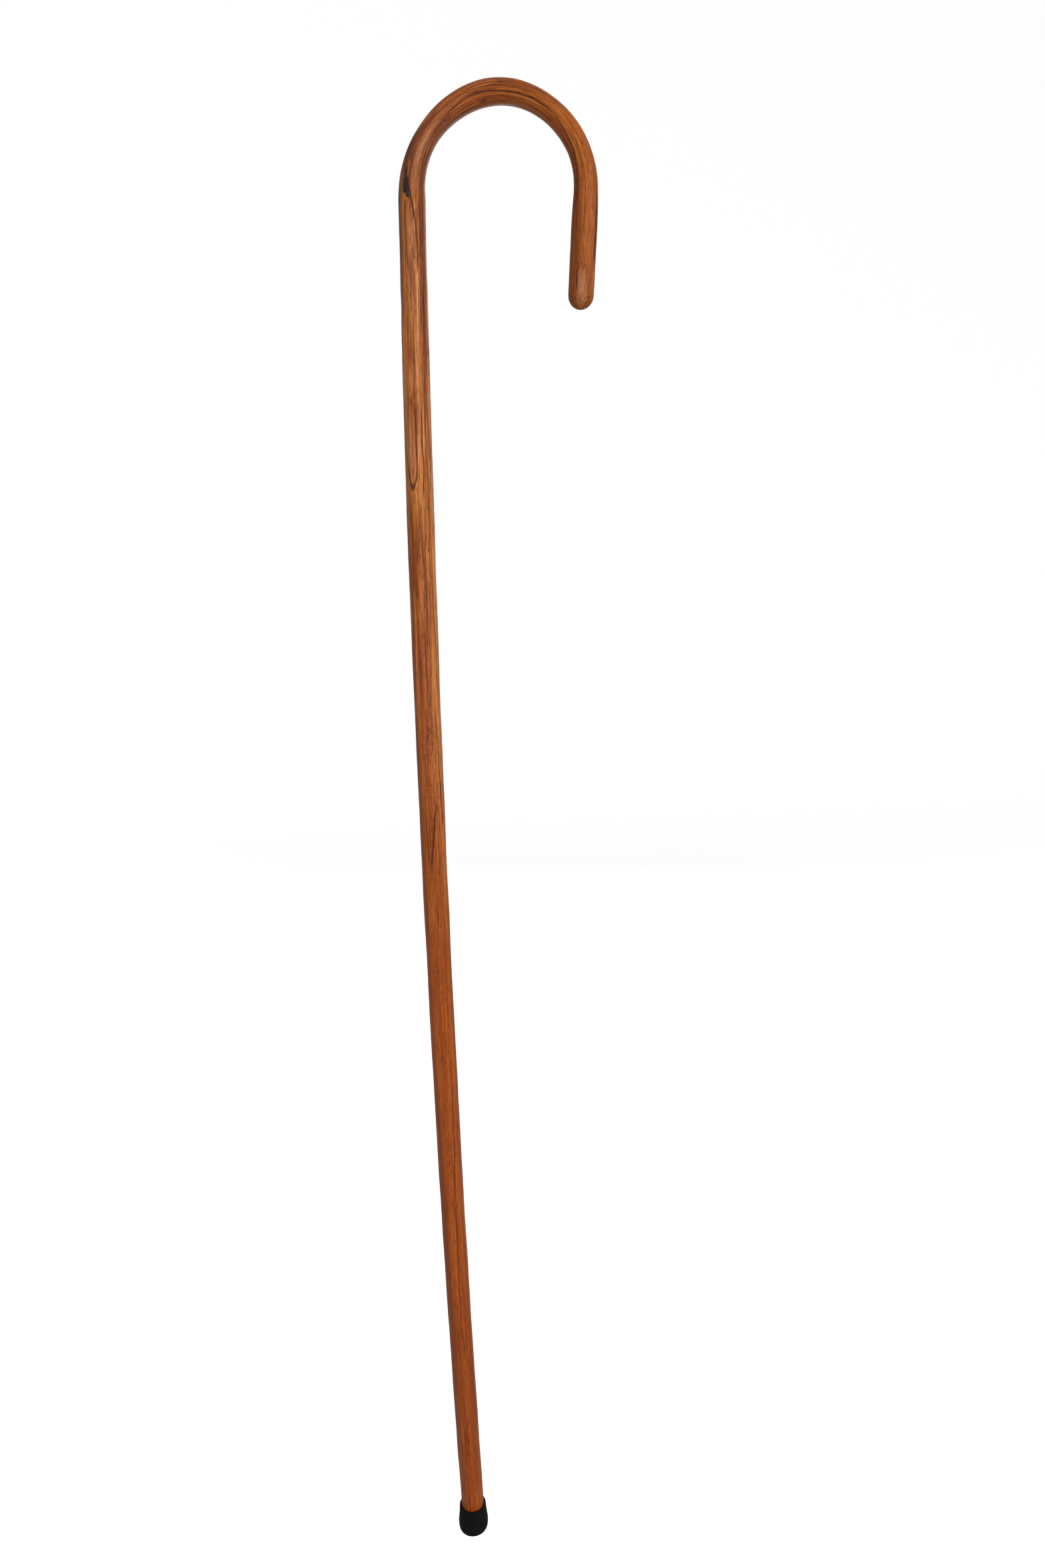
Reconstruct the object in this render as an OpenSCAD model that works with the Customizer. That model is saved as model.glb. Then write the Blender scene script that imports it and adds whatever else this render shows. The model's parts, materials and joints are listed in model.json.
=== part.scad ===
// Crook-handle walking cane: one steam-bent wooden stick and a push-on rubber ferrule.
// Millimetres. The shaft stands along +Z, the crook opens towards +X in the XZ plane,
// and the origin is the centre of the ferrule's base.

/* [Overall] */
// Height from the base of the ferrule to the top of the crook
overall_h = 940; // [860:1:1000]

/* [Shaft] */
// Diameter of the end that the ferrule is pushed onto
seat_d = 15.2; // [14.6:0.1:15.4]
// Diameter where the shaft is thickest
belly_d = 17.2; // [16.4:0.1:19]
// Height of the thickest place above the base
belly_z = 690; // [500:5:760]
// Diameter just below the crook
neck_d = 16.6; // [16:0.1:18]
// Length over which the neck thins down to the bent part
neck_taper_l = 26; // [15:1:40]
// Chamfer round the lower end
tip_chamfer = 0.8; // [0.3:0.1:1.2]

/* [Crook] */
// Diameter of the bent part
bend_d = 14.4; // [13.6:0.1:15.6]
// Bend radius of the shoulder, a quarter turn from the shaft to the crown
shoulder_r = 56; // [48:0.5:64]
// Bend radius of the nose, from the crown to the free end
nose_r = 50; // [44:0.5:60]
// Angle that the nose turns through: over 90, the free end leans back towards the shaft
nose_sweep = 94.5; // [91:0.5:100]
// Straight length at the free end, to the centre of its rounding
leg_l = 64; // [40:1:80]
// Length over which the free end thickens again
leg_taper_l = 28; // [15:1:38]
// Diameter of the rounded free end
leg_d = 16.4; // [15.8:0.1:18]

/* [Ferrule] */
// Height of the ferrule
ferrule_h = 17; // [15:0.5:24]
// Outer diameter at the rim
rim_d = 17.9; // [17.6:0.1:19]
// Outer diameter at the widest place
foot_d = 20; // [19.4:0.1:23]
// Height of the widest place above the base
foot_z = 6; // [5:0.5:8]
// Diameter of the flat base
base_d = 16.4; // [15:0.1:17]
// Radius of the rounded corner of the rim
rim_round = 0.5; // [0.3:0.1:0.7]
// Height of the rubber under the washer
floor_t = 3.6; // [3:0.1:5]
// Radial clearance between the shaft and the socket
socket_gap = 0.05; // [0.02:0.01:0.1]
// Depth of the two ring grooves in the base
tread_depth = 0.8; // [0.4:0.1:1.2]
// Width of each ring groove
tread_w = 1; // [0.6:0.1:1.4]
// Radii of the middles of the ring grooves
tread_radii = [4.2, 6.5];

/* [Washer] */
// Diameter of the steel washer in the bottom of the socket
washer_d = 14.6; // [13.5:0.1:15]
// Thickness of the washer
washer_t = 1; // [0.8:0.1:1.5]
// Diameter of the hole in the washer
washer_hole_d = 5; // [3:0.5:7]
// Depth of the stick's end above the washer
seat_gap = 0.05; // [0.02:0.01:0.1]

/* [Hidden] */
$fn = 96;

bend_z = overall_h - bend_d / 2 - shoulder_r;
neck_z = bend_z - neck_taper_l;
stick_z = floor_t + washer_t + seat_gap;
socket_r = seat_d / 2 + socket_gap;
foot_turn_z = foot_z - 1;

// The leg starts just inside the end of the nose and is a little wider, so the two join cleanly.
leg_lap = 0.1;
leg_start_d = bend_d + 0.2;

wood_colour = "#a5673c";
rubber_colour = "#1c1b1b";
steel_colour = "#b9bcc0";

// A length of stick along +Z that tapers from one diameter to another. Children stand on its end.
module run(length, from_d, to_d) {
    cylinder(h = length, d1 = from_d, d2 = to_d);
    translate([0, 0, length])
        children();
}

// A bend that starts along +Z and turns towards +X. Children stand on its end, in line with it.
module bend(radius, sweep) {
    translate([radius, 0, 0])
        rotate([90, 0, 180])
            rotate_extrude(angle = sweep)
                translate([radius, 0])
                    circle(d = bend_d);
    translate([radius * (1 - cos(sweep)), 0, radius * sin(sweep)])
        rotate([0, sweep, 0])
            children();
}

module leg() {
    translate([0, 0, -leg_lap])
        run(leg_taper_l, leg_start_d, leg_d)
            run(leg_l - leg_taper_l + leg_lap, leg_d, leg_d)
                sphere(d = leg_d);
}

module crook() {
    bend(shoulder_r, 90)
        bend(nose_r, nose_sweep)
            leg();
}

// The whole wooden piece, from the end in the ferrule's socket to the rounded end of the crook.
module stick() {
    color(wood_colour)
        translate([0, 0, stick_z])
            run(tip_chamfer, seat_d - 2 * tip_chamfer, seat_d)
                run(ferrule_h - stick_z - tip_chamfer, seat_d, seat_d)
                    run(belly_z - ferrule_h, seat_d, belly_d)
                        run(neck_z - belly_z, belly_d, neck_d)
                            run(neck_taper_l, neck_d, bend_d)
                                crook();
}

// Points along a circular arc in the plane of a profile.
function arc_points(centre, radius, from, to, steps) =
    [for (i = [0 : steps]) centre + radius * [cos(from + (to - from) * i / steps),
                                              sin(from + (to - from) * i / steps)]];

// The foot's rounding is a quarter ellipse from the edge of the base to the widest place.
foot_curve = [for (i = [0 : 12])
    [base_d / 2 + (foot_d - base_d) / 2 * sin(90 * i / 12), foot_turn_z * (1 - cos(90 * i / 12))]];

rim_curve = arc_points([rim_d / 2 - rim_round, ferrule_h - rim_round], rim_round, 0, 90, 6);

// Turned from its half section: base, rounded foot, tapered wall, rounded rim and socket.
module ferrule() {
    color(rubber_colour)
        difference() {
            rotate_extrude()
                polygon(concat([[0, 0]], foot_curve, [[foot_d / 2, foot_z]], rim_curve,
                               [[socket_r, ferrule_h], [socket_r, floor_t], [0, floor_t]]));
            for (r = tread_radii)
                translate([0, 0, -1])
                    rotate_extrude()
                        translate([r - tread_w / 2, 0])
                            square([tread_w, tread_depth + 1]);
        }
}

// A plain steel disc that spreads the load of the stick's end over the rubber.
module ferrule_washer() {
    color(steel_colour)
        translate([0, 0, floor_t])
            difference() {
                cylinder(h = washer_t, d = washer_d);
                translate([0, 0, -1])
                    cylinder(h = washer_t + 2, d = washer_hole_d);
            }
}

stick();
ferrule();
ferrule_washer();
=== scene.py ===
import json
import math
from functools import reduce
from types import SimpleNamespace

import bpy
import numpy as np
from mathutils import Matrix, Vector, noise


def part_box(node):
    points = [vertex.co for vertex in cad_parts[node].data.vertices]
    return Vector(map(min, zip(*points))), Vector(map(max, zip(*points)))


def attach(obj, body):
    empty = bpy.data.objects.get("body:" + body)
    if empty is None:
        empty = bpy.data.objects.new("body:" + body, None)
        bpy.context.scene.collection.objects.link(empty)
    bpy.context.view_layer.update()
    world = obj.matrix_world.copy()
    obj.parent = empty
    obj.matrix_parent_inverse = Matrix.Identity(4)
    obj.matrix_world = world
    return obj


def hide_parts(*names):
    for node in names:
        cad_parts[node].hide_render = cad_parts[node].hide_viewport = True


# Looks of a crook-handle walking cane: a varnished bentwood stick with a push-on rubber ferrule.
# Lengths below are millimetres and angles are degrees; MM turns them into the frame's metres.

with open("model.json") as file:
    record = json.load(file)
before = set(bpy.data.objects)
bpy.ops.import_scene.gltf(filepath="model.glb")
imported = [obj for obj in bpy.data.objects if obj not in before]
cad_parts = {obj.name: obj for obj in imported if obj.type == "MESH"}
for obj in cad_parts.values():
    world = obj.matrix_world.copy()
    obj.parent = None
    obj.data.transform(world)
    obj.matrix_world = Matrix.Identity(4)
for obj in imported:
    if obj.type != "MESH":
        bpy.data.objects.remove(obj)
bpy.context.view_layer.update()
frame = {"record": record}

MM = 0.001
ferrule_low, ferrule_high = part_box("ferrule")
washer_low, washer_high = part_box("ferrule_washer")

TIP_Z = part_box("stick")[0].z / MM
FERRULE_H = ferrule_high.z / MM
SOCKET_FLOOR_Z = washer_low.z / MM


# ---------------------------------------------------------------- shape of the stick

# The shaft bows gently away from the crook, so its two ends lean in by this angle.
BOW = 5.6
BOW_LENGTH = 860
LEAN = math.degrees(math.atan(4 * BOW / BOW_LENGTH))

# Length and turn of each stretch from the tip to the free end, where the last rounding is centred.
STRETCHES = (
    (9.4, 0),
    (12, -LEAN),
    (851, 2 * LEAN),
    (68.4, 65.9),
    (41.4, 50.5),
    (66.1, 66.9),
    (60.9, 0),
)
STICK_LENGTH = sum(length for length, turn in STRETCHES)

# Lengths over which a change of bend and a change of thickness are softened.
BEND_SOFTNESS = 16
WIDTH_SOFTNESS = 14

# Half thickness at distances from the tip: in the plane of the crook, and square to it.
HALF_WIDTHS = (
    (0, 7.5), (12, 7.5), (40, 7.6), (220, 7.87), (440, 8.11), (680, 8.65), (820, 8.37), (868, 8.3),
    (910, 6.7), (952, 7.05), (992, 6.5), (1032, 6.95), (1068, 8.15), (STICK_LENGTH, 7.9),
)
HALF_DEPTHS = (
    (0, 7.5), (12, 7.5), (40, 7.6), (220, 7.87), (440, 8.11), (680, 8.6), (820, 8.4), (868, 8.25),
    (910, 7.6), (992, 7.5), (1032, 7.6), (1068, 8.1), (STICK_LENGTH, 7.9),
)
TIP_CHAMFER = 0.8

# Mesh of the stick: gap between rings, turn between the rings of the rounded end, vertices in a ring,
# and how finely its curves are worked out.
RING_GAP = 1.5
END_RING_TURN = 7.5
STICK_SIDES = 64
SAMPLE = 0.5

# Hollows that knots leave under the varnish: distance from the tip, angle round the stick, radius and
# depth. They are longer than they are wide.
DENTS = (
    (708, 113, 5.0, 0.12),
    (804, 8, 6.0, 0.25),
    (873, 82, 4.5, 0.35),
    (919, 134, 2.5, 0.25),
    (949, 152, 2.5, 0.25),
    (1096, 112, 3.0, 0.18),
)
DENT_STRETCH = 1.6

# The stick's radius where angles round it are turned into distances over its skin.
SKIN_RADIUS = 8.0

# Unevenness of the surface, from noise: its height, how much it changes round the stick, its length
# along the stick, and where in the noise it starts. It fades out where the ferrule grips the tip.
SWELLS = (
    (0.26, 0.8, 34, 0),
    (0.08, 2.0, 9, 40),
)
GRIP_END = 16
GRIP_FADE = 20


def smoothed(values, softness):
    """Averages a curve that is sampled every SAMPLE mm, with a raised-cosine window."""
    half = int(softness / SAMPLE / 2)
    window = np.hanning(2 * half + 3)[1:-1]
    padded = np.pad(values, half, mode="edge")
    return np.convolve(padded, window / window.sum(), mode="valid")


def stick_curves():
    """Distance along the stick, heading, place in the XZ plane, and the two half thicknesses."""
    along = np.arange(0, STICK_LENGTH + SAMPLE, SAMPLE)
    lengths = np.array([length for length, turn in STRETCHES])
    turns = np.radians([turn for length, turn in STRETCHES])
    ends = np.cumsum(lengths)
    stretch = np.searchsorted(ends[:-1], along, side="right")
    curvature = smoothed((turns / lengths)[stretch], BEND_SOFTNESS)
    heading = np.concatenate([[0], np.cumsum((curvature[1:] + curvature[:-1]) / 2 * SAMPLE)])
    x = np.cumsum(np.sin(heading)) * SAMPLE
    z = TIP_Z + np.cumsum(np.cos(heading)) * SAMPLE - SAMPLE
    width = smoothed(np.interp(along, *zip(*HALF_WIDTHS)), WIDTH_SOFTNESS)
    depth = smoothed(np.interp(along, *zip(*HALF_DEPTHS)), WIDTH_SOFTNESS)
    return along, heading, x - x[0], z, width, depth


def stick_stations():
    """For each ring of the stick, the distance of its plane from the tip and how full the ring is, and
    the radius of the rounded end."""
    flat_end = [(0, share) for share in (0.2, 0.4, 0.6, 0.75, 0.85)]
    rim = 1 - TIP_CHAMFER / HALF_WIDTHS[0][1]
    chamfer = [(0, rim), (TIP_CHAMFER * 0.15, rim + 0.03), (TIP_CHAMFER, 1)]
    rings = round((STICK_LENGTH - 2 * TIP_CHAMFER) / RING_GAP)
    shaft = [(s, 1) for s in np.linspace(2 * TIP_CHAMFER, STICK_LENGTH, rings)]
    cap_radius = HALF_WIDTHS[-1][1]
    cap_angles = np.radians(np.arange(END_RING_TURN, 90, END_RING_TURN))
    cap = [(STICK_LENGTH + cap_radius * math.sin(a), math.cos(a)) for a in cap_angles]
    return flat_end + chamfer + shaft + cap, cap_radius


def swell(s, angle, height, change, length, start):
    """Height of one kind of unevenness at a place on the stick's surface."""
    place = Vector((change * math.cos(angle), change * math.sin(angle), s / length + start))
    return height * noise.noise(place)


def surface_offset(s, angle):
    """How far the surface of the wood stands out or in from the plain section."""
    free = min(1, max(0, (s - GRIP_END) / GRIP_FADE))
    offset = free * sum(swell(s, angle, *row) for row in SWELLS)
    for dent_s, dent_angle, radius, depth in DENTS:
        if abs(s - dent_s) < 4 * radius:
            across = math.remainder(angle - math.radians(dent_angle), math.tau) * SKIN_RADIUS
            reach = ((s - dent_s) / (DENT_STRETCH * radius)) ** 2 + (across / radius) ** 2
            offset -= depth * math.exp(-reach)
    return offset


def ring_faces(rings, closed=False):
    """Quads between neighbouring rings of vertex numbers, and triangles where a ring is one point."""
    faces = []
    following = rings[1:] + rings[:1] if closed else rings[1:]
    sides = max(len(ring) for ring in rings)
    for low, high in zip(rings, following):
        for j in range(sides):
            k = (j + 1) % sides
            corners = (low[j % len(low)], low[k % len(low)], high[k % len(high)], high[j % len(high)])
            faces.append(tuple(dict.fromkeys(corners)))
    return faces


# Edges that turn by more than this stay sharp where the shading is smooth.
SHARP_ANGLE = 35


def new_object(name, points, faces, material):
    """A smooth-shaded mesh object from points in millimetres."""
    mesh = bpy.data.meshes.new(name)
    mesh.from_pydata([tuple(MM * c for c in point) for point in points], [], faces)
    mesh.shade_smooth()
    mesh.set_sharp_from_angle(angle=math.radians(SHARP_ANGLE))
    mesh.materials.append(material)
    made = bpy.data.objects.new(name, mesh)
    bpy.context.scene.collection.objects.link(made)
    return made


# Rows of the stick's texture map, and the bare margin round each as a share of the map.
BAKE_ROWS = 4
BAKE_MARGIN = 0.004


def fold_bake_map(mesh, ring_count, sides):
    """Lays the stick's long skin in BAKE_ROWS rows, so that a square texture holds its grain finely."""
    layer = mesh.uv_layers.new(name="OFBake")
    per_row = math.ceil((ring_count - 1) / BAKE_ROWS)
    for polygon in mesh.polygons:
        band, side = divmod(polygon.index, sides)
        row, first = divmod(band, per_row)
        for loop, vertex in zip(polygon.loop_indices, polygon.vertices):
            ring = min(ring_count - 1, (vertex + sides - 1) // sides)
            column = side + 0.5 if ring in (0, ring_count - 1) else (vertex - 1) % sides
            if column == 0 and side == sides - 1:
                column = sides
            u = (ring - row * per_row) / per_row
            v = column / sides
            layer.data[loop].uv = (
                BAKE_MARGIN + u * (1 - 2 * BAKE_MARGIN),
                (row + BAKE_MARGIN * BAKE_ROWS + v * (1 - 2 * BAKE_MARGIN * BAKE_ROWS)) / BAKE_ROWS,
            )


def build_stick(material):
    """Sweeps the section along the bent path. Each vertex keeps its place in the unbent stick as its
    grain attribute, in millimetres: outward from the crook, across it, and along the wood."""
    along, heading, x, z, width, depth = stick_curves()
    stations, cap_radius = stick_stations()
    angles = np.radians(np.arange(STICK_SIDES) * 360 / STICK_SIDES)
    points = [(0, 0, TIP_Z)]
    grain = [(0, 0, 0)]
    rings = [[0]]
    for s, fullness in stations:
        on_path = min(s, STICK_LENGTH)
        turn = np.interp(on_path, along, heading)
        tangent = np.array((math.sin(turn), 0, math.cos(turn)))
        outward = np.array((-math.cos(turn), 0, math.sin(turn)))
        centre = np.array((np.interp(on_path, along, x), 0, np.interp(on_path, along, z)))
        centre = centre + tangent * (s - on_path)
        half_width = np.interp(on_path, along, width) * fullness
        half_depth = np.interp(on_path, along, depth) * fullness
        rings.append(range(len(points), len(points) + STICK_SIDES))
        for angle in angles:
            offset = surface_offset(s, angle) * fullness
            out = (half_width + offset) * math.cos(angle)
            across = (half_depth + offset) * math.sin(angle)
            points.append(tuple(centre + out * outward - np.array((0, across, 0))))
            grain.append((out, across, s))
    end = np.array((math.sin(heading[-1]), 0, math.cos(heading[-1])))
    rings.append([len(points)])
    points.append(tuple(np.array((x[-1], 0, z[-1])) + end * cap_radius))
    grain.append((0, 0, STICK_LENGTH + cap_radius))
    stick = new_object("bentwood_stick", points, ring_faces(rings), material)
    attribute = stick.data.attributes.new("grain", "FLOAT_VECTOR", "POINT")
    attribute.data.foreach_set("vector", np.array(grain, np.float32).ravel())
    fold_bake_map(stick.data, len(rings), STICK_SIDES)
    return stick


# ---------------------------------------------------------------- ferrule and washer

# Outside of the ferrule: a flat base, a rounded foot that is widest from FOOT_TURN_Z to FOOT_Z, and a
# wall that narrows to the rim and is slightly hollow on the way.
BASE_R = 8.7
FOOT_R = (ferrule_high.x - ferrule_low.x) / 2 / MM
FOOT_TURN_Z = 4.4
FOOT_Z = 6
RIM_R = 8.95
RIM_ROUND = 0.5
WALL_HOLLOW = 0.1

# Socket: its radius, and the roundings of its mouth and its bottom corner.
SOCKET_R = 7.65
MOUTH_ROUND = 0.25
CORNER_ROUND = 0.4

# Tread grooves as (radius, width), with their depth, the rounding of their edges and how far their
# walls slope in.
GROOVES = ((4.2, 1.0), (6.5, 1.0))
GROOVE_DEPTH = 0.8
GROOVE_ROUND = 0.12
GROOVE_SLOPE = 0.05

# Washer: radius of its hole, rounding of its upper edges and bevel of its lower outer edge.
HOLE_R = 2.5
WASHER_ROUND = 0.25
WASHER_BEVEL = 0.08

LATHE_SIDES = 128


def arc(centre, radii, start, end, steps):
    """Points on an ellipse's arc in a turned section, from one angle to another."""
    angles = np.radians(np.linspace(start, end, steps + 1))
    return [(centre[0] + radii[0] * math.cos(a), centre[1] + radii[1] * math.sin(a)) for a in angles]


def lathe(name, section, material, closed=False, sides=LATHE_SIDES):
    """Turns a section of (radius, height) points in millimetres round the Z axis."""
    points = []
    rings = []
    for radius, height in section:
        count = sides if radius > 0 else 1
        rings.append(range(len(points), len(points) + count))
        for turn in np.arange(count) * math.tau / count:
            points.append((radius * math.cos(turn), radius * math.sin(turn), height))
    return new_object(name, points, ring_faces(rings, closed), material)


def groove(radius, width):
    """Section of one tread groove in the base, with a rounded edge on each side."""
    edge = GROOVE_ROUND
    inner = radius - width / 2
    outer = radius + width / 2
    return (
        arc((inner - edge, edge), (edge, edge), -90, 0, 3)
        + [(inner + GROOVE_SLOPE, GROOVE_DEPTH), (outer - GROOVE_SLOPE, GROOVE_DEPTH)]
        + arc((outer + edge, edge), (edge, edge), 180, 270, 3)
    )


def build_ferrule(material):
    """Moulded rubber cap: grooved base, rounded foot, tapering wall, rolled rim, and a plain socket."""
    section = [(0, 0), (2, 0)]
    for radius, width in GROOVES:
        section += groove(radius, width)
    foot = arc((BASE_R, FOOT_TURN_Z), (FOOT_R - BASE_R, FOOT_TURN_Z), -90, 0, 14)
    section += foot + [(FOOT_R, FOOT_Z)]
    wall_top = FERRULE_H - RIM_ROUND
    for share in np.linspace(0.08, 0.92, 12):
        hollow = WALL_HOLLOW * math.sin(math.pi * share)
        section.append((FOOT_R + (RIM_R - FOOT_R) * share - hollow, FOOT_Z + (wall_top - FOOT_Z) * share))
    section += arc((RIM_R - RIM_ROUND, wall_top), (RIM_ROUND, RIM_ROUND), 0, 90, 6)
    mouth = (SOCKET_R + MOUTH_ROUND, FERRULE_H - MOUTH_ROUND)
    section += arc(mouth, (MOUTH_ROUND, MOUTH_ROUND), 90, 180, 3)
    corner = (SOCKET_R - CORNER_ROUND, SOCKET_FLOOR_Z + CORNER_ROUND)
    section += [(SOCKET_R, FERRULE_H * 0.7), (SOCKET_R, corner[1])]
    section += arc(corner, (CORNER_ROUND, CORNER_ROUND), 0, -90, 3)
    section += [(3, SOCKET_FLOOR_Z), (0, SOCKET_FLOOR_Z)]
    return lathe("rubber_ferrule", section, material)


def build_washer(material):
    """Stamped disc with rounded upper edges and a slightly bevelled lower one."""
    low = washer_low.z / MM
    high = washer_high.z / MM
    outer = (washer_high.x - washer_low.x) / 2 / MM
    soft = WASHER_ROUND
    section = (
        [(HOLE_R, low), (outer - WASHER_BEVEL, low), (outer, low + WASHER_BEVEL)]
        + arc((outer - soft, high - soft), (soft, soft), 0, 90, 4)
        + arc((HOLE_R + soft, high - soft), (soft, soft), 90, 180, 4)
    )
    return lathe("steel_washer", section, material, closed=True)


# ---------------------------------------------------------------- materials


def linear(code):
    """Scene-linear colour with alpha from an sRGB hex code."""
    channels = [int(code[i:i + 2], 16) / 255 for i in (1, 3, 5)]
    return tuple(c / 12.92 if c <= 0.04045 else ((c + 0.055) / 1.055) ** 2.4 for c in channels) + (1,)


class Graph:
    """A material's node tree. Most methods add a node and return the socket that gives its result."""

    def __init__(self, name):
        self.material = bpy.data.materials.new(name)
        self.material.use_nodes = True
        self.tree = self.material.node_tree
        self.tree.nodes.clear()
        self.shader = self.tree.nodes.new("ShaderNodeBsdfPrincipled")
        output = self.tree.nodes.new("ShaderNodeOutputMaterial")
        self.tree.links.new(self.shader.outputs[0], output.inputs["Surface"])

    def plug(self, socket, value):
        """Links a socket to another one, or sets it to a constant."""
        if isinstance(value, bpy.types.NodeSocket):
            self.tree.links.new(value, socket)
        else:
            socket.default_value = value

    def set(self, **values):
        """Sets the shader's inputs by name, with underscores for spaces."""
        for name, value in values.items():
            self.plug(self.shader.inputs[name.replace("_", " ")], value)

    def node(self, kind, inputs, output=0, **settings):
        """Adds any node, with its inputs by name or number and its settings by name."""
        made = self.tree.nodes.new("ShaderNode" + kind)
        for name, value in settings.items():
            setattr(made, name, value)
        for key, value in inputs.items():
            self.plug(made.inputs[key], value)
        return made.outputs[output]

    def math(self, operation, *values):
        return self.node("Math", dict(enumerate(values)), operation=operation)

    def product(self, first, second):
        return self.math("MULTIPLY", first, second)

    def total(self, *values):
        return reduce(lambda first, second: self.math("ADD", first, second), values)

    def largest(self, values):
        return reduce(lambda first, second: self.math("MAXIMUM", first, second), values)

    def split(self, vector):
        """The vector's X, Y and Z."""
        made = self.tree.nodes.new("ShaderNodeSeparateXYZ")
        self.plug(made.inputs[0], vector)
        return made.outputs

    def noise(self, vector, size, detail=2.0, roughness=0.5):
        """Noise from 0 to 1, with features of a given size on each axis."""
        scale = tuple(1 / length for length in size)
        place = self.node("VectorMath", {0: vector, 1: scale}, operation="MULTIPLY")
        inputs = {"Vector": place, "Scale": 1.0, "Detail": detail, "Roughness": roughness}
        return self.node("TexNoise", inputs)

    def step(self, value, low, high, to_low=0.0, to_high=1.0, smooth=True):
        """The value's range from low to high stretched to another range, and held beyond it."""
        inputs = {"Value": value, "From Min": low, "From Max": high, "To Min": to_low, "To Max": to_high}
        return self.node("MapRange", inputs, interpolation_type="SMOOTHSTEP" if smooth else "LINEAR")

    def mix(self, amount, first, second):
        """A colour between two colours."""
        return self.node("Mix", {0: amount, 6: first, 7: second}, output=2, data_type="RGBA")

    def ramp(self, factor, *stops):
        """Colour ramp through (position, hex colour) stops."""
        made = self.tree.nodes.new("ShaderNodeValToRGB")
        elements = made.color_ramp.elements
        elements[0].position, elements[0].color = stops[0][0], linear(stops[0][1])
        elements[1].position, elements[1].color = stops[-1][0], linear(stops[-1][1])
        for position, code in stops[1:-1]:
            elements.new(position).color = linear(code)
        self.plug(made.inputs[0], factor)
        return made.outputs[0]

    def bump(self, height, distance):
        """The normal of a relief, where a height of 1 stands for a distance in millimetres."""
        return self.node("Bump", {"Height": height, "Distance": distance * MM, "Strength": 1.0})


# Marks on the wood, by distance from the tip and angle round the stick. Angle 0 is the outer side of
# the bend and 90 is the side that faces -Y.

# Dark grain lines: start, end, angle at each, half width, darkness.
GRAIN_LINES = (
    (118, 142, 116, 101, 0.40, 0.5),
    (134, 238, 100, 110, 0.45, 0.65),
    (228, 325, 110, 130, 0.50, 0.75),
    (417, 437, 100, 108, 0.35, 0.6),
    (453, 500, 80, 118, 0.60, 0.95),
    (455, 487, 12, 20, 0.90, 0.6),
    (458, 492, 76, 60, 0.40, 0.5),
    (480, 514, 150, 144, 0.70, 0.9),
    (505, 560, 142, 128, 0.60, 0.7),
    (560, 640, 118, 126, 0.35, 0.5),
    (560, 640, 150, 140, 0.60, 0.6),
    (600, 690, 108, 112, 0.25, 0.6),
    (640, 700, 30, 26, 0.60, 0.5),
    (655, 692, 128, 136, 0.35, 0.6),
    (684, 748, 112, 115, 0.32, 1.0),
    (690, 724, 146, 156, 0.45, 0.8),
    (700, 755, 150, 138, 0.50, 0.7),
    (740, 780, 118, 128, 0.30, 0.6),
    (756, 852, 146, 141, 0.45, 0.7),
    (784, 816, 16, 22, 0.80, 0.8),
    (822, 856, 113, 110, 0.40, 0.9),
    (838, 868, 130, 133, 0.40, 0.7),
    (852, 869, 106, 88, 0.55, 1.0),
    (876, 908, 68, 42, 0.45, 0.8),
    (880, 935, 140, 132, 0.40, 0.6),
    (900, 940, 134, 116, 0.55, 0.7),
    (925, 990, 92, 98, 0.35, 0.45),
    (935, 1002, 115, 118, 0.60, 0.85),
    (998, 1062, 119, 146, 0.60, 0.8),
    (1005, 1066, 150, 158, 0.60, 0.6),
    (1048, 1094, 22, 26, 1.80, 0.95),
    (1096, 1109, 122, 117, 0.50, 0.9),
)

# Growth rings that close on themselves: middle, angle, half length, half width, half line, darkness.
LOOPS = (
    (720, 64, 26, 3.5, 0.08, 0.9),
    (718, 64, 15, 1.7, 0.15, 0.25),
)

# Patches of another tone: middle, angle, half length, half width, amount.
RED_PATCHES = (
    (369, 55, 9, 2.2, 0.7),
    (505, 78, 30, 1.6, 0.4),
    (570, 70, 48, 2.4, 0.6),
    (774, 66, 7, 1.0, 0.9),
    (960, 135, 50, 2.0, 0.35),
    (1022, 146, 38, 2.6, 0.6),
)
PALE_PATCHES = (
    (718, 66, 20, 2.4, 0.35),
    (800, 98, 60, 1.6, 0.35),
    (845, 84, 18, 2.6, 0.5),
    (895, 104, 18, 2.0, 0.5),
)
BROWN_SPOTS = (
    (694, 64, 1.6, 1.4, 0.7),
    (893, 50, 17, 2.8, 0.85),
    (919, 136, 2.2, 1.1, 0.8),
    (949, 154, 2.2, 1.2, 0.8),
)
BLACK_KNOTS = (
    (868, 79, 2.6, 1.6, 0.95),
    (871, 69, 3.0, 2.5, 1.0),
    (874.5, 64, 4.6, 2.1, 1.0),
    (880, 62, 5.0, 1.0, 0.85),
)

# Swellings of the growth rings, which draw loops and V figures on the surface: middle, angle, half
# length, half width, and how many rings they push through.
FIGURES = (
    (850, 92, 24, 3.0, -1.6),
    (873, 82, 12, 3.5, 1.6),
    (464, 104, 30, 4.0, 1.0),
    (560, 80, 60, 4.0, 0.8),
)

# Tongue of varnished end grain at the free end: where it starts and where it is widest, its angle, and
# its half width at the start and at the widest place.
TONGUE_START = 1096
TONGUE_END = 1112
TONGUE_ANGLE = 94
TONGUE_HALF_WIDTHS = (2.6, 4.2)

# Growth rings: distance between them, and the angle round the stick that they face.
RING_SPACING = 2.1
RING_TILT = 68

# Whole rings added to every ring number, so that none is negative.
RINGS_BEFORE = 50

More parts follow.
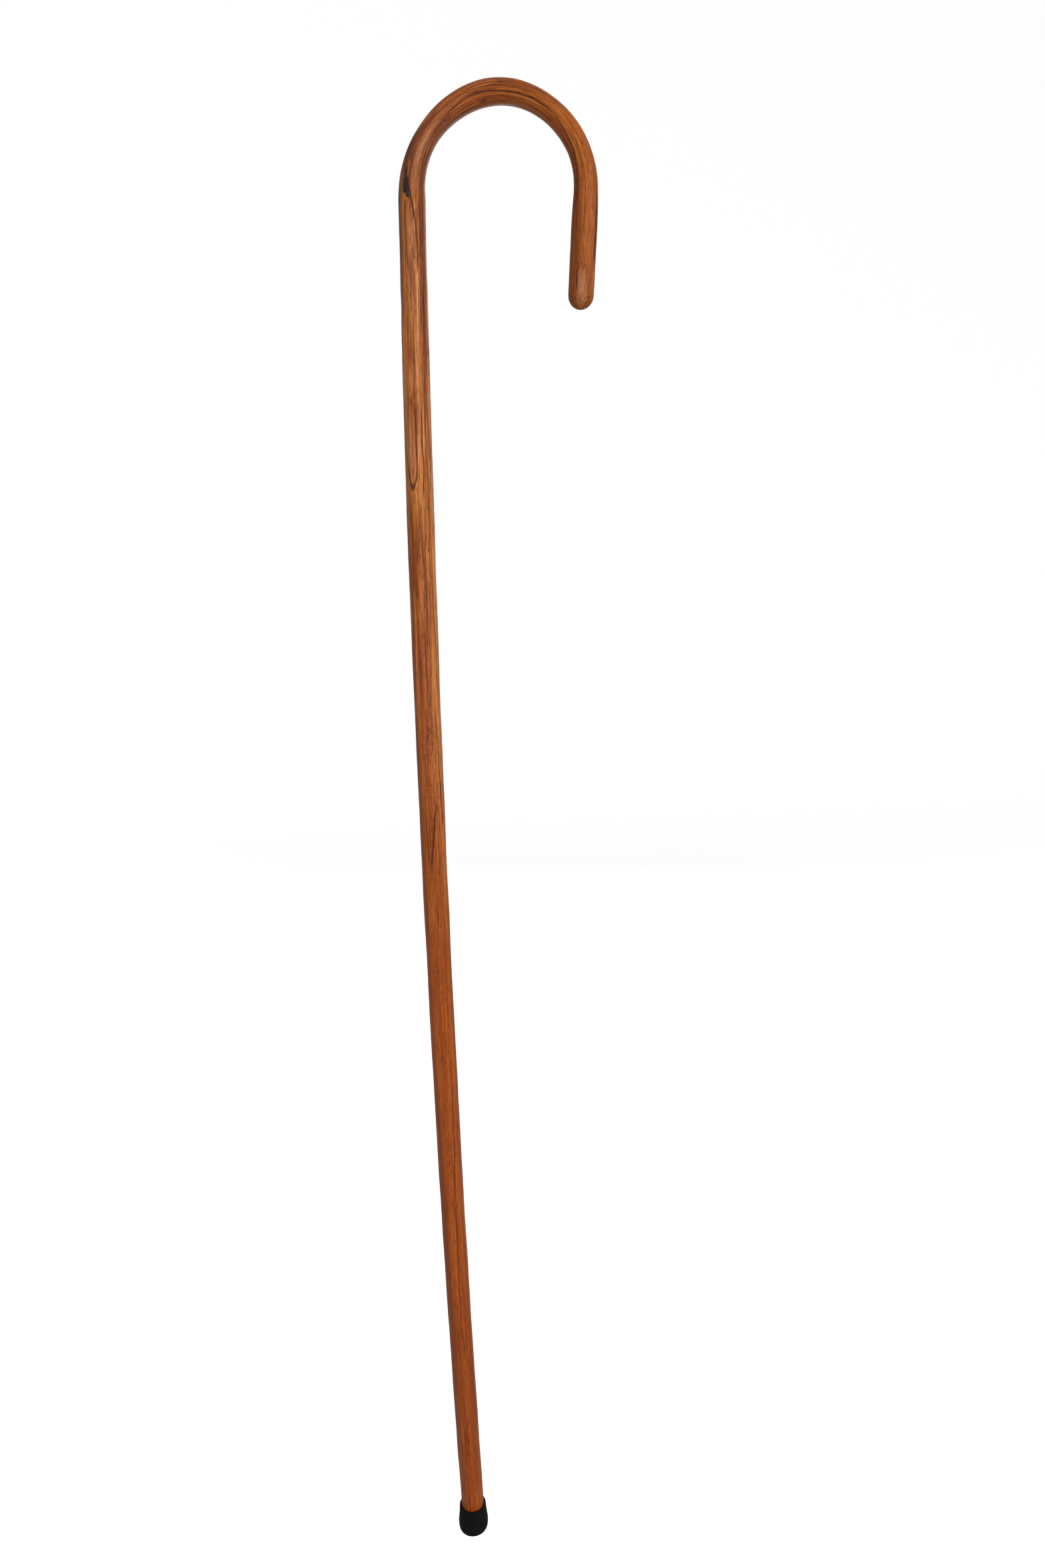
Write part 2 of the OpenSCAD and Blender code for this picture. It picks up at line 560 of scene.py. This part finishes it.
# Colours from the darkest to the palest tone of the wood, as (tone, colour) stops.
STAIN = ((0.0, "#562408"), (0.22, "#79380c"), (0.45, "#9b5117"), (0.68, "#b26a2c"), (0.95, "#ca8c52"))
LOWER_STAIN = ((0.0, "#6a2604"), (0.9, "#ae510e"))
PALE_STAIN = ((0.1, "#9a5c34"), (0.9, "#cc9a70"))
RED_STAIN = ((0.1, "#6e2208"), (0.9, "#a64a1e"))
END_GRAIN = ((0.1, "#8a5330"), (0.9, "#cda07a"))
KNOT_BLACK = ((0.3, "#140b08"), (0.7, "#2c1a12"))
PORE_BROWN = "#4c210e"
LINE_BROWN = "#3c170a"
BARE_WOOD = ("#9a7448", "#c8a676")

# The wood's fine relief: height of each kind of mark, and the millimetres that a height of 1 stands for.
RELIEF = {"fibres": 0.6, "strands": 1.4, "clouds": 1.6, "pores": -0.6, "lines": -0.8, "knots": -1.0}
WOOD_RELIEF = 0.5
RUBBER_RELIEF = 0.05
STEEL_RELIEF = 0.01


# Share of a patch's strength that is left at its outline.
OVAL_EDGE = 0.37


def skin_distance(graph, angle, at):
    """Distance round the stick from an angle, in millimetres."""
    return graph.product(graph.math("SUBTRACT", angle, at), math.radians(SKIN_RADIUS))


def oval(graph, angle, along, middle, at, half_length, half_width):
    """Place lengthwise in an oval on the skin, from -1 to 1, and the square of how far out it is."""
    across = graph.math("DIVIDE", skin_distance(graph, angle, at), half_width)
    lengthwise = graph.math("DIVIDE", graph.math("SUBTRACT", along, middle), half_length)
    reach = graph.total(graph.math("POWER", across, 2.0), graph.math("POWER", lengthwise, 2.0))
    return lengthwise, reach


def patch(graph, angle, along, middle, at, half_length, half_width, amount):
    """A soft-edged oval on the stick's surface: amount at its middle, fading to nothing outside."""
    lengthwise, reach = oval(graph, angle, along, middle, at, half_length, half_width)
    return graph.product(graph.math("POWER", OVAL_EDGE, reach), amount)


def patches(graph, wood, rows):
    """The strongest of several patches at each place."""
    return graph.largest([patch(graph, wood.angle, wood.along, *row) for row in rows])


def loop_line(graph, wood, middle, at, half_length, half_width, half_line, amount):
    """A dark oval outline, boldest at the end nearest the tip."""
    lengthwise, reach = oval(graph, wood.angle, wood.along, middle, at, half_length, half_width)
    off_line = graph.math("ABSOLUTE", graph.math("SUBTRACT", graph.math("SQRT", reach), 1.0))
    line = graph.step(off_line, half_line * 0.4, half_line * 1.5, amount, 0.0)
    return graph.product(line, graph.step(lengthwise, -1.0, 0.8, 1.0, 0.25, smooth=False))


def grain_line(graph, wood, start, end, start_angle, end_angle, half_width, amount):
    """A thin dark line along the wood that fades in and out at its ends."""
    centre = graph.step(wood.along, start, end, start_angle, end_angle, smooth=False)
    distance = graph.math("ABSOLUTE", skin_distance(graph, wood.angle, centre))
    line = graph.step(distance, half_width * 0.3, half_width * 1.4, amount, 0.0)
    fade = (end - start) * 0.2
    begins = graph.step(wood.along, start - fade * 0.3, start + fade)
    stops = graph.step(wood.along, end + fade * 0.3, end - fade)
    return graph.product(line, graph.product(begins, stops))


def wood_layers(graph):
    """What the wood's looks are made from: the place in the unbent stick, in millimetres, and noise of
    several sizes. turn is the angle round the stick, and angle is the same with some waver added."""
    grain = graph.node("Attribute", {}, output=1, attribute_name="grain")
    outward, across, along = graph.split(grain)
    wander = graph.noise(grain, (14, 14, 22))
    turn = graph.product(graph.math("ARCTAN2", across, outward), 180 / math.pi)
    return SimpleNamespace(
        outward=outward,
        across=across,
        along=along,
        turn=turn,
        angle=graph.total(turn, graph.step(wander, 0, 1, -9, 9, smooth=False)),
        wander=wander,
        drift=graph.noise(grain, (60, 60, 260), detail=1),
        fibres=graph.noise(grain, (0.42, 0.42, 24), detail=3, roughness=0.65),
        pits=graph.noise(grain, (0.38, 0.38, 6)),
        strands=graph.noise(grain, (1.2, 1.2, 40), detail=3, roughness=0.6),
        streaks=graph.noise(grain, (3.2, 3.2, 120), detail=3, roughness=0.55),
        clouds=graph.noise(grain, (9, 9, 45)),
    )


def growth_rings(graph, wood):
    """Tone of the growth rings, tilted layers that go from pale early wood to dark late wood."""
    depth = graph.total(
        graph.product(wood.outward, math.cos(math.radians(RING_TILT)) / RING_SPACING),
        graph.product(wood.across, math.sin(math.radians(RING_TILT)) / RING_SPACING),
        graph.step(wood.drift, 0.2, 0.8, -2.0, 2.0, smooth=False),
        graph.step(wood.wander, 0.2, 0.8, -0.12, 0.12, smooth=False),
        *[patch(graph, wood.turn, wood.along, *row) for row in FIGURES],
    )
    ring = graph.math("FRACT", graph.math("ADD", depth, RINGS_BEFORE))
    early = graph.step(ring, 0.0, 0.62, 1.0, 0.35)
    late = graph.step(ring, 0.72, 0.97, 0.0, -0.5)
    break_off = graph.step(ring, 0.975, 1.0, 0.0, 0.45)
    return graph.total(early, late, break_off)


def wood_tone(graph, wood):
    """How pale the wood is. The figure is strongest high on the shaft, and calmer round the bend. The
    wood is darker towards the tip and from the top of the shaft over the crook, a little lighter again
    round the bend, and the leg is darkened further as painted shade.
    """
    calm_bend = graph.step(wood.along, 850, 930, 1.0, 0.55)
    figure = graph.total(
        graph.step(growth_rings(graph, wood), 0.0, 1.0, -0.10, 0.08, smooth=False),
        graph.step(wood.fibres, 0.25, 0.75, -0.26, 0.26, smooth=False),
        graph.step(wood.strands, 0.3, 0.7, -0.15, 0.15, smooth=False),
        graph.product(graph.step(wood.streaks, 0.32, 0.68, -0.24, 0.24), calm_bend),
        graph.step(wood.clouds, 0.25, 0.75, -0.08, 0.08, smooth=False),
    )
    contrast = graph.product(
        graph.step(wood.along, 420, 720, 0.6, 1.2),
        graph.step(wood.along, 880, 1040, 1.0, 0.6),
    )
    return graph.total(
        graph.product(figure, contrast),
        graph.step(wood.along, 60, 600, 0.41, 0.51),
        graph.step(wood.along, 720, 790, 0.0, -0.14),
        graph.step(wood.along, 880, 960, 0.0, 0.03),
        # Painted shade: the leg, from about 1000 mm on, is darkened.
        graph.step(wood.along, 1000, 1060, 0.0, -0.05),
    )


def stained_wood(graph, wood, tone):
    """Colour of the wood without its dark marks: redder towards the tip, with pale and red patches."""
    low_down = graph.step(wood.along, 680, 300, 0.0, 0.8)
    colour = graph.mix(low_down, graph.ramp(tone, *STAIN), graph.ramp(tone, *LOWER_STAIN))
    colour = graph.mix(patches(graph, wood, PALE_PATCHES), colour, graph.ramp(tone, *PALE_STAIN))
    return graph.mix(patches(graph, wood, RED_PATCHES), colour, graph.ramp(tone, *RED_STAIN))


def dark_lines(graph, wood):
    """Amount of every thin dark line and brown spot, frayed by the fibres."""
    lines = [grain_line(graph, wood, *row) for row in GRAIN_LINES]
    lines += [loop_line(graph, wood, *row) for row in LOOPS]
    lines.append(patches(graph, wood, BROWN_SPOTS))
    return graph.product(graph.largest(lines), graph.step(wood.fibres, 0.3, 0.55, 0.6, 1.0))


def end_grain(graph, wood):
    """Amount of the pale tongue of end grain at the free end, which widens and has a fibrous outline."""
    fray = graph.step(wood.fibres, 0, 1, -0.9, 0.9, smooth=False)
    from_middle = graph.math("ABSOLUTE", skin_distance(graph, wood.angle, TONGUE_ANGLE))
    half_width = graph.step(wood.along, TONGUE_START, TONGUE_END, *TONGUE_HALF_WIDTHS, smooth=False)
    inside = graph.math("SUBTRACT", half_width, graph.total(from_middle, fray))
    along = graph.total(wood.along, graph.step(wood.fibres, 0, 1, -2, 2))
    return graph.product(
        graph.step(along, TONGUE_START, TONGUE_START + 2),
        graph.step(inside, 0.0, 1.0, 0.0, 0.4),
    )


def black_knots(graph, wood):
    """Amount of the black knots, with edges that the fibres tear."""
    fray = graph.step(wood.fibres, 0, 1, -0.5, 0.5, smooth=False)
    return graph.step(graph.total(patches(graph, wood, BLACK_KNOTS), fray), 0.34, 0.62)


def wood_material():
    """Stained, varnished ring-porous hardwood. The pattern lives in the unbent stick, so it follows the
    bend and cuts through the wood as real grain does."""
    graph = Graph("varnished_wood")
    wood = wood_layers(graph)
    tone = wood_tone(graph, wood)
    pores = graph.step(wood.pits, 0.58, 0.70, 0.0, 0.6)
    lines = dark_lines(graph, wood)
    knots = black_knots(graph, wood)
    bare_end = graph.step(wood.along, 1.2, 0.6, smooth=False)
    bare_colour = graph.mix(graph.step(wood.fibres, 0.3, 0.7), *[linear(code) for code in BARE_WOOD])

    colour = stained_wood(graph, wood, tone)
    colour = graph.mix(pores, colour, linear(PORE_BROWN))
    colour = graph.mix(lines, colour, linear(LINE_BROWN))
    colour = graph.mix(end_grain(graph, wood), colour, graph.ramp(tone, *END_GRAIN))
    colour = graph.mix(knots, colour, graph.ramp(wood.fibres, *KNOT_BLACK))
    colour = graph.mix(bare_end, colour, bare_colour)

    roughness = graph.total(
        graph.step(wood.fibres, 0.2, 0.8, 0.50, 0.34),
        graph.product(graph.math("MAXIMUM", bare_end, lines), 0.3),
        graph.step(wood.along, 1000, 1060, 0.0, 0.1),
    )
    layers = {**vars(wood), "pores": pores, "lines": lines, "knots": knots}
    relief = graph.total(*[graph.product(layers[name], height) for name, height in RELIEF.items()])
    surface = graph.bump(relief, WOOD_RELIEF)
    graph.set(
        Base_Color=colour,
        Roughness=roughness,
        Specular_IOR_Level=0.25,
        Specular_Tint=linear("#ffe2c4"),
        Coat_Weight=graph.step(wood.along, 960, 1050, 0.22, 0.1),
        Coat_Roughness=0.17,
        Coat_IOR=1.45,
        Normal=surface,
        Coat_Normal=surface,
    )
    return graph.material


def rubber_material():
    """Near-matt moulded black rubber with a dusty bloom and a fine grain."""
    graph = Graph("black_rubber")
    place = graph.node("TexCoord", {}, output=3)
    grit = graph.noise(place, (0.6 * MM, 0.6 * MM, 0.6 * MM), detail=3, roughness=0.6)
    cloud = graph.noise(place, (6 * MM, 6 * MM, 4 * MM), detail=3)
    graph.set(
        Base_Color=graph.ramp(cloud, (0.3, "#090807"), (0.7, "#0e0d0c")),
        Roughness=graph.step(cloud, 0.25, 0.75, 0.55, 0.7),
        Specular_IOR_Level=0.11,
        Normal=graph.bump(grit, RUBBER_RELIEF),
    )
    return graph.material


def steel_material():
    """Zinc-plated stamping with faint scratches."""
    graph = Graph("zinc_steel")
    place = graph.node("TexCoord", {}, output=3)
    scratches = graph.noise(place, (6 * MM, 0.4 * MM, 4 * MM), detail=3, roughness=0.6)
    graph.set(
        Base_Color=graph.ramp(scratches, (0.3, "#aeb1b4"), (0.7, "#c9cbcd")),
        Metallic=1.0,
        Roughness=graph.step(scratches, 0.3, 0.7, 0.28, 0.42),
        Normal=graph.bump(scratches, STEEL_RELIEF),
    )
    return graph.material


# ---------------------------------------------------------------- studio

# Studio: radius of the ring in its flat floor and of the whole floor, radius of the curve up to its
# wall, and heights of the wall and of the dome above it.
FLOOR_RING_R = 600
FLOOR_R = 2600
COVE_R = 1100
WALL_H = 1600
ROOF_H = 3400
STUDIO_SIDES = 96
FLOOR_CLEARANCE = 1
BACKDROP_GLOW = 0.66
WORLD_LIGHT = 0.36

# Softboxes: name, place, target and size in metres, power in watts, and whether reflections show them.
SOFTBOXES = (
    ("key", (0.95, -1.15, 1.0), (0.03, 0, 0.6), (0.7, 1.5), 23.5, True),
    ("fill", (-1.6, -1.4, 1.2), (0.03, 0, 0.5), (1.2, 1.2), 5, False),
    ("bounce", (0.0, -0.8, 0.1), (0.07, 0, 0.9), (0.8, 0.8), 2.2, False),
    ("back", (0.3, 2.0, 1.5), (0.03, 0, 0.5), (1.2, 1.5), 10, True),
)

# Camera: place in metres, angles to the right, up and round its own axis, and lens in millimetres.
CAMERA_PLACE = (0.0551, -0.6143, 0.5624)
CAMERA_ANGLES = (-0.15, -4.78, -2.24)
CAMERA_LENS = 21.96

# The floor lies low enough for the ferrule to come off downwards without going through it.
PULL_LENGTH = max(joint["range_m"][1] for joint in frame["record"]["behaviour"]["joints"]) / MM
FLOOR_Z = -PULL_LENGTH - FLOOR_CLEARANCE


def backdrop_material():
    """Matt white that glows a little, for an even, pale background."""
    graph = Graph("studio_white")
    white = linear("#f4f4f4")
    graph.set(
        Base_Color=white,
        Roughness=0.9,
        Specular_IOR_Level=0.0,
        Emission_Color=white,
        Emission_Strength=BACKDROP_GLOW,
    )
    return graph.material


def build_studio():
    """A pale round floor that curves up into a wall and a domed roof. Only the camera sees them, so the
    world's even light reaches the cane through them."""
    section = [(0, FLOOR_Z), (FLOOR_RING_R, FLOOR_Z), (FLOOR_R, FLOOR_Z)]
    section += arc((FLOOR_R, FLOOR_Z + COVE_R), (COVE_R, COVE_R), -87, 0, 24)
    section += arc((0, WALL_H), (FLOOR_R + COVE_R, ROOF_H), 0, 88, 24)
    section.append((0, WALL_H + ROOF_H))
    studio = lathe("studio", section, backdrop_material(), sides=STUDIO_SIDES)
    studio.visible_diffuse = False
    studio.visible_glossy = False
    studio.visible_shadow = False
    world = bpy.data.worlds.new("soft_white")
    world.use_nodes = True
    background = world.node_tree.nodes["Background"]
    background.inputs["Color"].default_value = (1, 1, 1, 1)
    background.inputs["Strength"].default_value = WORLD_LIGHT
    bpy.context.scene.world = world


def add_softbox(name, place, target, size, power, in_gloss):
    """A rectangular light that faces its target."""
    data = bpy.data.lights.new(name, "AREA")
    data.shape = "RECTANGLE"
    data.size, data.size_y = size
    data.energy = power
    light = bpy.data.objects.new(name, data)
    light.location = place
    light.rotation_mode = "QUATERNION"
    light.rotation_quaternion = (Vector(target) - Vector(place)).to_track_quat("-Z", "Y")
    light.visible_camera = False
    light.visible_glossy = in_gloss
    bpy.context.scene.collection.objects.link(light)


def add_camera():
    """Close, wide view from in front of the upper half of the cane, slightly tilted."""
    yaw, pitch, roll = (math.radians(angle) for angle in CAMERA_ANGLES)
    ahead = Vector((math.sin(yaw) * math.cos(pitch), math.cos(yaw) * math.cos(pitch), math.sin(pitch)))
    level = Vector((math.cos(yaw), -math.sin(yaw), 0))
    above = level.cross(ahead)
    right = math.cos(roll) * level + math.sin(roll) * above
    up = math.cos(roll) * above - math.sin(roll) * level
    data = bpy.data.cameras.new("camera")
    data.sensor_width = 36
    data.lens = CAMERA_LENS
    data.clip_start = 0.01
    camera = bpy.data.objects.new("camera", data)
    turn = Matrix((right, up, -ahead)).transposed().to_4x4()
    camera.matrix_world = Matrix.Translation(CAMERA_PLACE) @ turn
    bpy.context.scene.collection.objects.link(camera)
    bpy.context.scene.camera = camera


# ---------------------------------------------------------------- scene

stick = build_stick(wood_material())
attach(stick, "stick")
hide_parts("stick")

ferrule = build_ferrule(rubber_material())
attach(ferrule, "ferrule")
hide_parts("ferrule")

washer = build_washer(steel_material())
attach(washer, "ferrule")
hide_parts("ferrule_washer")

build_studio()
for softbox in SOFTBOXES:
    add_softbox(*softbox)
add_camera()
bpy.context.scene.view_settings.view_transform = "Standard"
